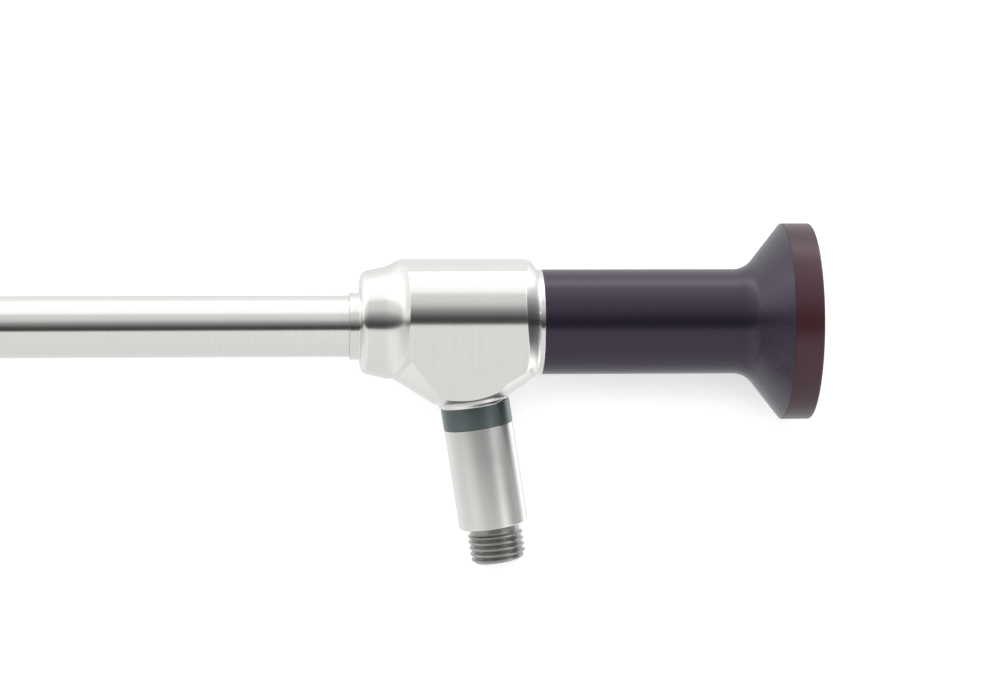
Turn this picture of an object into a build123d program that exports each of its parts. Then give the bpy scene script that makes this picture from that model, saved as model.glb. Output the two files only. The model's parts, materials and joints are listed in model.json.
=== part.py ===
"""A rigid rod-lens endoscope with a 45 degree view, lying as it comes to rest.

The instrument is modelled in its own scope frame, in millimetres: the optical axis is X, with the
eyepiece toward +X and the distal tip toward -X, X = 0 at the joint between the body and the
eyepiece, and +Z away from the light post. At the end all pieces are turned into the pose in which
the instrument lies still on a table, on its eyecup, its light post and its tip.
"""
import os
from math import asin, cos, radians, sin, sqrt, tan

from build123d import *

# Running clearances between pieces that slide or screw together
slip = 0.02
face_gap = 0.05

# Shaft: the steel outer tube and its collar
shaft_diameter = 10.0
shaft_wall = 0.4
shaft_offset = 0.62
working_length = 330.0
view_angle = 45.0
shaft_seat = 6.0
shaft_seat_step = 0.2
collar_show = 1.7
collar_seat = 3.0
collar_wall = 0.45
collar_fillet = 0.6

# Body: turned nose, milled middle, coned tail and the keel with the boss of the light post
body_length = 29.5
nose_radius = 8.5
nose_round = 1.5
nose_slope = 12.0
nose_length = 2.4
nose_flare_radius = 6.0
nose_flare_slope = 60.0
top_height = 9.85
top_half_width = 5.5
side_radius = 9.3
side_offset = 2.7
side_height = 1.1
bevel_angle = 33.0
belly_start = 4.0
belly_depth = 9.1
keel_angle = 21.5
keel_depth = 15.0
keel_nose_place = 23.8
keel_nose_radius = 9.4
keel_nose_slope = 32.0
keel_tail_radius = 8.75
keel_tail_slope = 35.4
cheek_nose_place = 22.5
cheek_nose_slope = 53.0
cheek_tail_depth = 5.6
cheek_tail_slope = 33.0
cheek_depth = 10.2
lip_length = 0.75
tail_angle = 55.0
body_bore = 5.9
neck_radius = 6.95
neck_length = 8.0
cord_radius = 0.5
groove_ease = 1.3
groove_margin = 0.6

# Light post: threaded core, colour ring and sleeve
post_place = 12.84
post_angle = 81.0
boss_reach = 13.4
boss_radius = 5.9
boss_seat = 0.6
boss_angle = 62.5
ring_length = 3.7
sleeve_length = 16.5
sleeve_diameter = 11.3
stub_length = 5.9
thread_diameter = 9.0
thread_relief = 0.65
relief_length = 0.9
thread_chamfer = 0.5
core_engagement = 4.3
shank_radius = 3.3
edge_break = 0.2

# Light guide
fibre_radius = 1.9
fibre_bend = 4.0
fibre_drop = 5.7
fibre_clearance = 0.25
crescent_rise = 1.2
ferrule_wall = 0.7
ferrule_length = 16.0
ferrule_recess = 0.3

# Optic tube and what it carries
optic_diameter = 7.0
optic_wall = 0.25
optic_reach = 4.5
window_thickness = 0.6
front_lens_radius = 1.6
front_lens_thickness = 0.9
prism_half_height = 1.7
prism_half_width = 1.3
prism_reach = 6.0
objective_wall = 0.45
objective_length = 12.0
objective_lens_thickness = 2.4
objective_ring_length = 1.2
rod_count = 7
rod_length = 44.0
rod_rim = 0.55
rod_bulge = 0.35
spacer_wall = 0.5
bush_length = 4.5
bush_show = 1.5

# Eyepiece: barrel, eyecup and the ocular inside
barrel_diameter = 17.06
barrel_length = 39.3
flare_fillet = 4.2
flare_angle = 51.5
eyecup_diameter = 32.0
eyecup_length = 4.6
eyecup_mouth = 13.2
eyecup_edge = 0.35
spigot_radius = 12.4
spigot_length = 2.0
funnel_throat = 6.4
funnel_depth = 8.9
ocular_radius = 5.88
ocular_wall = 0.7
ocular_step = 0.6
ocular_step_length = 3.5
stop_thickness = 0.5
stop_opening = 2.4
stop_notch = 0.5
ocular_lens_rim = 1.4
ocular_lens_bulge = 1.0
ocular_gap = 2.0
doublet_front = 2.6
doublet_rear = 1.8
doublet_curve = 0.9
retainer_wall = 0.9
retainer_length = 2.6
ocular_end_gap = 0.4
window_radius = 6.2
eye_window_thickness = 1.2
seal_thickness = 0.2
window_ring_wall = 1.3

# Rest: steps in which the instrument is rolled until it lies on its three edges
roll_steps = 40

# Radii and places that follow from the sizes above
shaft_radius = shaft_diameter / 2
shaft_bore = shaft_radius - shaft_wall
seat_radius = shaft_radius - shaft_seat_step
sleeve_radius = sleeve_diameter / 2
thread_radius = thread_diameter / 2
optic_radius = optic_diameter / 2
optic_bore = optic_radius - optic_wall
barrel_radius = barrel_diameter / 2
eyecup_radius = eyecup_diameter / 2
collar_radius = shaft_radius + collar_wall
shaft_mouth = -body_length - collar_show
shaft_inner_end = -body_length + shaft_seat
shaft_shoulder = shaft_mouth - face_gap
face_slope = tan(radians(90 - view_angle))
tip_place = shaft_mouth - working_length + shaft_radius / tan(radians(view_angle))
ring_start = boss_reach
sleeve_start = ring_start + ring_length
stub_start = sleeve_start + sleeve_length
post_end = stub_start + stub_length
eyecup_end = barrel_length + eyecup_length
window_seat = eyecup_end - funnel_depth - eye_window_thickness - seal_thickness - window_ring_wall
ocular_end = window_seat - ocular_end_gap
seal_place = neck_length - groove_margin - groove_ease * cord_radius
groove_floor = neck_radius - 2 * cord_radius

# Frames of the light post (its Z runs down the post) and of the slanted tip (its Z looks out)
post_direction = Vector(cos(radians(post_angle)), 0, -sin(radians(post_angle)))
post_frame = Plane(origin=(-post_place, 0, 0), x_dir=(sin(radians(post_angle)), 0,
                   cos(radians(post_angle))), z_dir=post_direction)
view_direction = Vector(-cos(radians(view_angle)), 0, sin(radians(view_angle)))


def turned(*outline):
    """A solid turned about the optical axis, from (along, radius) points."""
    return revolve(make_face(Plane.XZ * Polyline(*outline, close=True)), Axis.X)


def tube(start, end, outer, inner=0.0):
    """A plain tube or rod on the optical axis."""
    return turned((start, inner), (end, inner), (end, outer), (start, outer))


def on_shaft(solid):
    """Moves a solid from the optical axis to the axis of the outer tube."""
    return Pos(0, 0, -shaft_offset) * solid


def spun(*outline):
    """A solid turned about the light post, from (radius, distance down the post) points."""
    return post_frame * revolve(make_face(Plane.XZ * Polyline(*outline, close=True)), Axis.Z)


def before_the_face(depth=0.0):
    """The space outside the slanted distal face, or outside a plane set back behind it."""
    half = 4 * shaft_diameter
    origin = Vector(tip_place, 0, -shaft_offset) - view_direction * depth
    return Plane(origin=origin, x_dir=(0, 1, 0), z_dir=view_direction) * Pos(0, 0, half) * Box(
        2 * half, 2 * half, 2 * half)


def dome_middle(dome, bulge):
    """Halfway along a spherical dome, as (height over its rim, distance from the axis)."""
    ball = (dome * dome + bulge * bulge) / (2 * bulge)
    half = asin(dome / abs(ball)) / 2
    return bulge - ball * (1 - cos(half)), abs(ball) * sin(half)


def lens(start, end, radius, rim, front_bulge=0.0, rear_bulge=0.0):
    """A lens on the optical axis: flat seats round domed faces, hollow where a bulge is negative."""
    dome = radius - rim
    edges = [Line((start, dome), (start, radius)), Line((start, radius), (end, radius)),
             Line((end, radius), (end, dome)), Line((end + rear_bulge, 0), (start - front_bulge, 0))]
    for place, bulge, side in ((start, front_bulge, -1), (end, rear_bulge, 1)):
        if bulge:
            height, distance = dome_middle(dome, bulge)
            edges.append(ThreePointArc((place, dome), (place + side * height, distance),
                                       (place + side * bulge, 0)))
        else:
            edges.append(Line((place, dome), (place, 0)))
    return revolve(make_face(Plane.XZ * Curve(edges)), Axis.X)


# Shaft


def make_outer_tube():
    """The outer tube, ground to the viewing angle at the tip and turned down where it is held."""
    far = tip_place - 2 * shaft_diameter
    blank = turned((far, shaft_bore), (shaft_inner_end, shaft_bore), (shaft_inner_end, seat_radius),
                   (shaft_shoulder, seat_radius), (shaft_shoulder, shaft_radius), (far, shaft_radius))
    return on_shaft(blank) - before_the_face()


def make_shaft_collar():
    """The ferrule that carries the tube in the nose of the body."""
    bore = seat_radius + slip
    root = collar_radius + collar_fillet
    end = -body_length
    outline = [Line((shaft_mouth, bore), (end + collar_seat, bore)),
               Line((end + collar_seat, bore), (end + collar_seat, collar_radius)),
               Line((end + collar_seat, collar_radius), (end, collar_radius)),
               Line((end, collar_radius), (end, root)),
               RadiusArc((end, root), (end - collar_fillet, collar_radius), collar_fillet),
               Line((end - collar_fillet, collar_radius), (shaft_mouth, collar_radius)),
               Line((shaft_mouth, collar_radius), (shaft_mouth, bore))]
    return on_shaft(revolve(make_face(Plane.XZ * Curve(outline)), Axis.X))


def make_optic_tube():
    """The inner tube of the lenses, ground at the tip together with the outer tube."""
    far = tip_place - 2 * shaft_diameter
    return tube(far, optic_reach, optic_radius, optic_bore) - before_the_face()


def light_guide_route():
    """From the end of the light post up into the body and round into the shaft."""
    corner_down = fibre_drop / sin(radians(post_angle))
    end = post_frame.from_local_coords(Vector(0, 0, post_end - ferrule_recess))
    corner = post_frame.from_local_coords(Vector(0, 0, corner_down))
    return FilletPolyline(end, corner, Vector(shaft_inner_end + face_gap, 0, -fibre_drop),
                          radius=fibre_bend)


def round_along(route, radius):
    """A round bar along the route of the light guide."""
    start = Plane(origin=route @ 0, z_dir=route % 0)
    return sweep(start * Circle(radius), path=route)


def make_illumination_fibres():
    """The glass fibres: a crescent below the optic tube, gathered round for the light post."""
    far = tip_place - 2 * shaft_diameter
    crescent = on_shaft(tube(far, shaft_inner_end, shaft_bore - slip))
    crescent -= tube(far - shaft_diameter, shaft_diameter, optic_radius + slip)
    length = -far + shaft_diameter
    above = Pos(-length / 2, 0, crescent_rise + shaft_diameter) * Box(
        length * 2, 2 * shaft_diameter, 2 * shaft_diameter)
    crescent -= above
    crescent -= before_the_face()
    gathered = round_along(light_guide_route(), fibre_radius)
    overlap = on_shaft(tube(shaft_inner_end - face_gap, shaft_inner_end + fibre_radius,
                            shaft_bore - slip))
    overlap -= tube(shaft_inner_end - shaft_diameter, shaft_diameter, optic_radius + slip)
    return crescent + gathered + (overlap - above)


# Optics in the shaft


def make_distal_window():
    """The window, flush with the slanted face."""
    blank = tube(tip_place - 2 * shaft_diameter, tip_place + 2 * shaft_diameter, optic_bore - slip)
    return (blank - before_the_face()) & before_the_face(window_thickness)


def tip_frame(depth):
    """A plane on the viewing axis, set back behind the slanted face."""
    axis_point = Vector(tip_place + shaft_offset * face_slope, 0, 0)
    return Plane(origin=axis_point - view_direction * depth, x_dir=(0, 1, 0), z_dir=view_direction)


def make_front_lens():
    """The small hollow lens behind the window, square to the viewing direction."""
    back = tip_frame(window_thickness + front_lens_thickness)
    blank = back * Pos(0, 0, front_lens_thickness / 2) * Cylinder(front_lens_radius,
                                                                 front_lens_thickness)
    hollow_radius = 2 * front_lens_radius
    hollow_depth = front_lens_thickness / 3
    hollow = back * Pos(0, 0, hollow_depth - hollow_radius) * Sphere(hollow_radius)
    return blank - hollow


def prism_corners():
    """Entrance face square to the view, exit face square to the optical axis."""
    entrance = tip_frame(window_thickness + front_lens_thickness).origin
    along_face = Vector(sin(radians(view_angle)), 0, cos(radians(view_angle)))
    upper = entrance + along_face * prism_half_height
    lower = entrance - along_face * prism_half_height
    exit_place = tip_place + prism_reach
    return [(upper.X, upper.Z), (exit_place, prism_half_height), (exit_place, -prism_half_height),
            (lower.X, lower.Z)]


def make_deflecting_prism():
    """The prism that turns the view into the shaft."""
    profile = make_face(Plane.XZ * Polyline(*prism_corners(), close=True))
    return extrude(profile, prism_half_width, both=True)


def make_objective_sleeve():
    """The sleeve of the prism and the objective, ground to stand behind the window."""
    bore = optic_bore - slip - objective_wall
    blank = tube(tip_place - 2 * shaft_diameter, tip_place + objective_length, optic_bore - slip, bore)
    return blank - before_the_face(window_thickness)


def make_objective_lens():
    """The thick lens at the end of the objective sleeve."""
    radius = optic_bore - 2 * slip - objective_wall
    end = tip_place + objective_length - objective_ring_length - rod_bulge
    return lens(end - objective_lens_thickness, end, radius, rod_rim, rod_bulge, rod_bulge)


def make_objective_ring():
    """The ring that holds the objective lens in its sleeve."""
    radius = optic_bore - 2 * slip - objective_wall
    end = tip_place + objective_length
    return tube(end - objective_ring_length - rod_bulge, end, radius, radius - spacer_wall)


def rod_pitch():
    """The distance from one rod lens to the next, over the run that the tube leaves for them."""
    run = optic_reach - (tip_place + objective_length)
    gap = (run - rod_count * rod_length) / (rod_count + 1)
    return rod_length + gap, gap


def make_rod_lens(index):
    """One rod lens of the relay, with domed ends inside flat seats."""
    pitch, gap = rod_pitch()
    start = tip_place + objective_length + gap + index * pitch
    return lens(start, start + rod_length, optic_bore - slip, rod_rim, rod_bulge, rod_bulge)


def make_rod_spacer(index):
    """The thin tube that keeps two rod lenses apart."""
    pitch, gap = rod_pitch()
    start = tip_place + objective_length + index * pitch
    outer = optic_bore - slip
    return tube(start, start + gap, outer, outer - spacer_wall)


# Body


def body_section(low_end):
    """The upper outline of the milled body: half of its (across, up) corners and arc points."""
    bevel = radians(bevel_angle)
    keel = radians(keel_angle)
    shoulder = (side_offset + side_radius * sin(bevel), side_height + side_radius * cos(bevel))
    tangent = (side_offset + side_radius * cos(keel), side_height - side_radius * sin(keel))
    middle_angle = (bevel + radians(90) + keel) / 2
    middle = (side_offset + side_radius * sin(middle_angle),
              side_height + side_radius * cos(middle_angle))
    low = (tangent[0] - (tangent[1] + low_end) * tan(keel), -low_end)
    return (top_half_width, top_height), shoulder, middle, tangent, low


def mirrored(point):
    """The same point on the other side of the middle plane."""
    return -point[0], point[1]


def section_face(place, low_end, low_middle):
    """The closed cross-section of the body at a place along the axis."""
    top, shoulder, middle, tangent, low = body_section(low_end)
    edges = [Line(mirrored(top), top), Line(top, shoulder), ThreePointArc(shoulder, middle, tangent),
             Line(tangent, low), ThreePointArc(low, (0, -low_middle), mirrored(low)),
             Line(mirrored(low), mirrored(tangent)),
             ThreePointArc(mirrored(tangent), mirrored(middle), mirrored(shoulder)),
             Line(mirrored(shoulder), mirrored(top))]
    return Plane(origin=(place, 0, 0), x_dir=(0, 1, 0), z_dir=(1, 0, 0)) * make_face(Curve(edges))


def nose_space():
    """The space inside the turned nose: rounded face, slim cone and the flare to the milled middle."""
    slim = radians(nose_slope)
    wide = radians(nose_flare_slope)
    centre = (-body_length + nose_round, nose_radius - nose_round)

    def on_round(angle):
        """A point of the rounded shoulder, by the slope of its tangent."""
        return centre[0] - nose_round * sin(angle), centre[1] + nose_round * cos(angle)

    shoulder = on_round(slim)
    foot = (shoulder[0] + nose_length * cos(slim), shoulder[1] + nose_length * sin(slim))

    def on_flare(angle):
        """A point of the flare, by the slope of its tangent."""
        return (foot[0] + nose_flare_radius * (sin(angle) - sin(slim)),
                foot[1] + nose_flare_radius * (cos(slim) - cos(angle)))

    brow = on_flare(wide)
    reach = 2 * body_length
    far = (brow[0] + reach * cos(wide), brow[1] + reach * sin(wide))
    outline = [Line((-body_length, 0), (-body_length, centre[1])),
               ThreePointArc((-body_length, centre[1]), on_round((slim + radians(90)) / 2), shoulder),
               Line(shoulder, foot), ThreePointArc(foot, on_flare((slim + wide) / 2), brow),
               Line(brow, far), Line(far, (far[0], 0)), Line((far[0], 0), (-body_length, 0))]
    return revolve(make_face(Plane.XZ * Curve(outline)), Axis.X)


def tail_space():
    """The space inside the cone of the tail."""
    reach = body_length + collar_show
    return turned((-lip_length, 0), (-lip_length, barrel_radius),
                  (-lip_length - reach, barrel_radius + reach * tan(radians(tail_angle))),
                  (-lip_length - reach, 0))


def keel_space():
    """The space inside the two cones that run down from the nose and the tail toward the post."""
    nose_rise = tan(radians(keel_nose_slope))
    tail_rise = tan(radians(keel_tail_slope))
    crest = (keel_tail_radius - keel_nose_radius - keel_nose_place * nose_rise
             - lip_length * tail_rise) / (nose_rise + tail_rise)

    def front_cone(place):
        """A point of the front cone at a place along the axis."""
        return place, keel_nose_radius + (place + keel_nose_place) * nose_rise

    return turned((-body_length, 0), front_cone(-body_length), front_cone(crest),
                  (-lip_length, keel_tail_radius), (-lip_length, 0))


def cheek_space():
    """The space above the two slanted cuts that end the side flats toward the nose and the tail."""
    nose_run = (cheek_depth - belly_start) / tan(radians(cheek_nose_slope))
    tail_run = (cheek_depth - cheek_tail_depth) / tan(radians(cheek_tail_slope))
    outline = make_face(Plane.XZ * Polyline(
        (-cheek_nose_place, 0), (-cheek_nose_place, -belly_start),
        (-cheek_nose_place + nose_run, -cheek_depth), (-lip_length - tail_run, -cheek_depth),
        (-lip_length, -cheek_tail_depth), (-lip_length, 0), close=True))
    return extrude(outline, side_offset + side_radius, both=True)


def make_boss():
    """The boss of the light post: a short round seat and the cone that opens toward the body."""
    foot = boss_reach - boss_seat
    root = boss_radius + foot * tan(radians(boss_angle))
    return spun((0, 0), (root, 0), (boss_radius, foot), (boss_radius, boss_reach), (0, boss_reach))


def make_body():
    """The body: one steel piece that joins the shaft, the light post and the eyepiece."""
    middle = extrude(section_face(-body_length, belly_start, belly_depth),
                     amount=body_length - lip_length, dir=(1, 0, 0))
    keel = extrude(section_face(-body_length, keel_depth, keel_depth + edge_break),
                   amount=body_length - lip_length, dir=(1, 0, 0))
    ends = nose_space() & tail_space()
    below = keel_space() + (cheek_space() & ends)
    outside = (middle & ends) + (keel & make_boss() & below)
    outside += tube(-lip_length, 0, barrel_radius)
    outside += tube(-lip_length, neck_length, neck_radius)
    outside -= tube(shaft_inner_end + face_gap, neck_length, body_bore)
    outside -= on_shaft(tube(-body_length, shaft_inner_end + 2 * face_gap, seat_radius + slip))
    outside -= on_shaft(tube(-body_length, -body_length + collar_seat + face_gap,
                             collar_radius + slip))
    core_top = boss_reach - core_engagement
    post_bore = shank_radius + slip
    outside -= spun((0, core_top), (post_bore, core_top), (post_bore, 2 * boss_reach),
                    (0, 2 * boss_reach))
    outside -= round_along(light_guide_route(), fibre_radius + fibre_clearance)
    return outside - neck_groove()


def neck_groove():
    """The groove of the seal on the neck of the body."""
    half = cord_radius * groove_ease
    return tube(seal_place - half, seal_place + half, 2 * neck_radius, groove_floor)


def make_neck_seal():
    """The seal between the body and the eyepiece, on the floor of its groove."""
    profile = Plane.XZ * Pos(seal_place, groove_floor + cord_radius) * Circle(cord_radius)
    return revolve(profile, Axis.X)


def make_optic_bush():
    """The bush that centres the optic tube in the neck of the body."""
    return tube(bush_show - bush_length, bush_show, body_bore - slip, optic_radius + slip)


# Light post


def make_light_post():
    """The core of the post: brazed into the body, threaded at its free end for the light cable."""
    top = boss_reach - core_engagement
    bore = fibre_radius + ferrule_wall + 2 * slip
    channel = fibre_radius + fibre_clearance
    ferrule_top = post_end - ferrule_length
    relief = thread_radius - thread_relief
    thread_start = stub_start + relief_length
    return spun((channel, top), (shank_radius, top), (shank_radius, boss_reach),
                (thread_radius, boss_reach), (thread_radius, stub_start),
                (relief, stub_start), (relief, thread_start - thread_relief),
                (thread_radius, thread_start), (thread_radius, post_end - thread_chamfer),
                (thread_radius - thread_chamfer, post_end), (bore, post_end), (bore, ferrule_top),
                (channel, ferrule_top))


def make_post_ring():
    """The dark ring between the body and the sleeve."""
    end = sleeve_start - face_gap
    bore = thread_radius + slip
    return spun((bore, ring_start), (sleeve_radius - edge_break, ring_start),
                (sleeve_radius, ring_start + edge_break), (sleeve_radius, end), (bore, end))


def make_post_sleeve():
    """The steel sleeve that is screwed down on the core."""
    bore = thread_radius + slip
    return spun((bore, sleeve_start), (sleeve_radius, sleeve_start),
                (sleeve_radius, stub_start - edge_break), (sleeve_radius - edge_break, stub_start),
                (bore, stub_start))


def make_fibre_ferrule():
    """The ferrule that clamps the fibres in the free end of the post."""
    inner = fibre_radius + slip
    outer = fibre_radius + ferrule_wall
    start = post_end - ferrule_length + face_gap
    return spun((inner, start), (outer, start), (outer, post_end - ferrule_recess),
                (inner, post_end - ferrule_recess))


# Eyepiece


def barrel_profile():
    """The outside of the barrel: straight tube, fillet and the cone of the eyecup."""
    slope = radians(flare_angle)
    cone_foot = barrel_length - (eyecup_radius - barrel_radius) / tan(slope)
    tangent = flare_fillet * tan(slope / 2)
    start = (cone_foot - tangent, barrel_radius)
    end = (cone_foot + tangent * cos(slope), barrel_radius + tangent * sin(slope))
    halfway = (start[0] + flare_fillet * sin(slope / 2),
               barrel_radius + flare_fillet * (1 - cos(slope / 2)))
    return start, halfway, end


def make_eyepiece_barrel():
    """The black barrel: socket for the neck, bore for the ocular, seat of the window and funnel."""
    start, halfway, end = barrel_profile()
    outside = [Line((0, 0), (0, barrel_radius)), Line((0, barrel_radius), start),
               ThreePointArc(start, halfway, end), Line(end, (barrel_length, eyecup_radius)),
               Line((barrel_length, eyecup_radius), (barrel_length, 0)), Line((barrel_length, 0), (0, 0))]
    barrel = revolve(make_face(Plane.XZ * Curve(outside)), Axis.X)
    barrel -= tube(0, neck_length + face_gap, neck_radius + slip)
    barrel -= tube(0, ocular_end, body_bore)
    barrel -= tube(0, barrel_length, window_radius - window_ring_wall)
    barrel -= tube(window_seat, barrel_length, window_radius + slip)
    barrel -= tube(barrel_length - spigot_length, barrel_length, spigot_radius + slip)
    return barrel - funnel_space()


def funnel_space():
    """The funnel that the eye or the camera looks into."""
    throat = eyecup_end - funnel_depth
    return turned((throat, 0), (throat, funnel_throat), (eyecup_end, eyecup_mouth), (eyecup_end, 0))


def make_eyecup_rim():
    """The rim of the eyecup, seated in the barrel by a spigot."""
    start = barrel_length - spigot_length + face_gap
    rim = turned((start, 0), (start, spigot_radius), (barrel_length, spigot_radius),
                 (barrel_length, eyecup_radius), (eyecup_end - eyecup_edge, eyecup_radius),
                 (eyecup_end, eyecup_radius - eyecup_edge), (eyecup_end, 0))
    return rim - funnel_space()


def make_ocular_tube():
    """The tube of the ocular, against the bush and in the bore of neck and barrel."""
    bore = ocular_radius - ocular_wall
    step = bush_show + ocular_step_length
    return turned((bush_show, bore - ocular_step), (step, bore - ocular_step), (step, bore),
                  (ocular_end, bore), (ocular_end, ocular_radius), (bush_show, ocular_radius))


def ocular_places():
    """Where each piece of the ocular starts, from the field stop to the retainer."""
    stop = bush_show + ocular_step_length
    spacer = stop + stop_thickness
    retainer = ocular_end - retainer_length
    flint = retainer - doublet_rear
    crown = flint - doublet_front
    gap = crown - ocular_lens_bulge - ocular_gap
    front_lens = gap - ocular_lens_rim
    return stop, spacer, front_lens, gap, crown, flint, retainer


def in_ocular():
    """The radius of what slides into the ocular tube."""
    return ocular_radius - ocular_wall - slip


def make_field_stop():
    """The stop that frames the round picture, with its notch toward the light post."""
    stop = ocular_places()[0]
    disc = tube(stop, stop + stop_thickness, in_ocular(), stop_opening)
    notch = Pos(stop + stop_thickness / 2, 0, -stop_opening) * Box(2 * stop_thickness, stop_notch,
                                                                  stop_notch)
    return disc - notch


def make_ocular_spacer_front():
    """The long spacer from the field stop to the first lens."""
    places = ocular_places()
    return tube(places[1], places[2], in_ocular(), in_ocular() - spacer_wall)


def make_ocular_lens():
    """The first lens of the ocular, flat toward the stop."""
    places = ocular_places()
    return lens(places[2], places[3], in_ocular(), ocular_lens_rim / 2, rear_bulge=ocular_lens_bulge)


def make_ocular_spacer_rear():
    """The short spacer between the lens and the doublet."""
    places = ocular_places()
    return tube(places[3], places[4], in_ocular(), in_ocular() - spacer_wall)


def make_doublet_crown():
    """The front glass of the doublet, domed into the rear one."""
    places = ocular_places()
    return lens(places[4], places[5], in_ocular(), ocular_lens_rim / 2, doublet_curve, doublet_curve)


def make_doublet_flint():
    """The rear glass of the doublet, hollow for the front one."""
    places = ocular_places()
    return lens(places[5], places[6], in_ocular(), ocular_lens_rim / 2, front_bulge=-doublet_curve)


def make_ocular_retainer():
    """The screwed ring that closes the ocular tube."""
    start = ocular_places()[6]
    return tube(start, ocular_end, in_ocular(), in_ocular() - retainer_wall)


def make_window_seal():
    """The solder ring under the eyepiece window."""
    return tube(window_seat, window_seat + seal_thickness, window_radius,
                window_radius - window_ring_wall)


def make_eyepiece_window():
    """The window at the bottom of the funnel."""
    start = window_seat + seal_thickness
    return tube(start, start + eye_window_thickness, window_radius)


def make_window_ring():
    """The ring that clamps the window."""
    start = window_seat + seal_thickness + eye_window_thickness
    return tube(start, start + window_ring_wall, window_radius, window_radius - window_ring_wall)


# Rest: the pose in which the instrument lies still


def rest_rings():
    """The three round edges that touch the table: centre and two half axes of each."""
    across = Vector(0, 1, 0)
    up = Vector(0, 0, 1)
    front = Vector(1, 0, 0)
    eyecup = (front * barrel_length, across * eyecup_radius, up * eyecup_radius)
    shoulder = post_frame.from_local_coords(Vector(0, 0, post_end - thread_chamfer))
    post = (shoulder, across * thread_radius, post_frame.x_dir * thread_radius)
    slant = Vector(face_slope, 0, 1) * shaft_radius
    tip = (Vector(tip_place, 0, -shaft_offset), across * shaft_radius, slant)
    return eyecup, post, tip


def lowest_point(ring, upward):
    """The lowest point of a round edge when the given direction is up."""
    centre, half_one, half_two = ring
    one = half_one.dot(upward)
    two = half_two.dot(upward)
    return centre - (half_one * one + half_two * two) / sqrt(one * one + two * two)


def resting_place():
    """The move from the scope frame to the table, found by rolling onto the three edges."""
    side_up = Vector(0, -1, 0)
    upward = side_up
    for _ in range(roll_steps):
        eyecup, post, tip = [lowest_point(ring, upward) for ring in rest_rings()]
        normal = (post - eyecup).cross(tip - eyecup).normalized()
        upward = normal if normal.dot(side_up) > 0 else normal * -1
    along = Vector(1, 0, 0) - upward * upward.X
    return Plane(origin=eyecup, x_dir=along, z_dir=upward).location.inverse()


def make_pieces():
    """All pieces in the scope frame, by node name."""
    pieces = {
        "outer_tube": make_outer_tube(),
        "shaft_collar": make_shaft_collar(),
        "optic_tube": make_optic_tube(),
        "illumination_fibres": make_illumination_fibres(),
        "distal_window": make_distal_window(),
        "front_lens": make_front_lens(),
        "deflecting_prism": make_deflecting_prism(),
        "objective_sleeve": make_objective_sleeve(),
        "objective_lens": make_objective_lens(),
        "objective_ring": make_objective_ring(),
        "body": make_body(),
        "neck_seal": make_neck_seal(),
        "optic_bush": make_optic_bush(),
        "light_post": make_light_post(),
        "post_ring": make_post_ring(),
        "post_sleeve": make_post_sleeve(),
        "fibre_ferrule": make_fibre_ferrule(),
        "eyepiece_barrel": make_eyepiece_barrel(),
        "eyecup_rim": make_eyecup_rim(),
        "ocular_tube": make_ocular_tube(),
        "field_stop": make_field_stop(),
        "ocular_spacer_front": make_ocular_spacer_front(),
        "ocular_lens": make_ocular_lens(),
        "ocular_spacer_rear": make_ocular_spacer_rear(),
        "doublet_crown": make_doublet_crown(),
        "doublet_flint": make_doublet_flint(),
        "ocular_retainer": make_ocular_retainer(),
        "window_seal": make_window_seal(),
        "eyepiece_window": make_eyepiece_window(),
        "window_ring": make_window_ring(),
    }
    for index in range(rod_count):
        pieces[f"rod_lens_{index + 1}"] = make_rod_lens(index)
    for index in range(rod_count + 1):
        pieces[f"rod_spacer_{index + 1}"] = make_rod_spacer(index)
    return pieces


def table_move(pieces):
    """The whole move from the scope frame to the row frame: origin at the bottom centre."""
    rest = resting_place()
    box = Compound([rest * piece for piece in pieces.values()]).bounding_box()
    return Pos(-(box.min.X + box.max.X) / 2, -(box.min.Y + box.max.Y) / 2, -box.min.Z) * rest


def main():
    """Writes each piece, as it lies on the table, to its STEP file."""
    os.makedirs("parts", exist_ok=True)
    pieces = make_pieces()
    move = table_move(pieces)
    for name, piece in pieces.items():
        placed = move * piece
        placed.label = name
        export_step(placed, f"parts/{name}.step")


if __name__ == "__main__":
    main()
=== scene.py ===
"""The looks of a rigid endoscope: smooth turned and milled pieces over the CAD solids, and the stage.

Sizes are in metres in the scope's own frame: X along the optical axis toward the eyepiece, X = 0 at the
joint of body and eyepiece, +Z away from the light post. The frame's mounts say how it lies in the row.
"""
import json
import math

import bmesh
import bpy
from mathutils import Matrix, Vector

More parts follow.
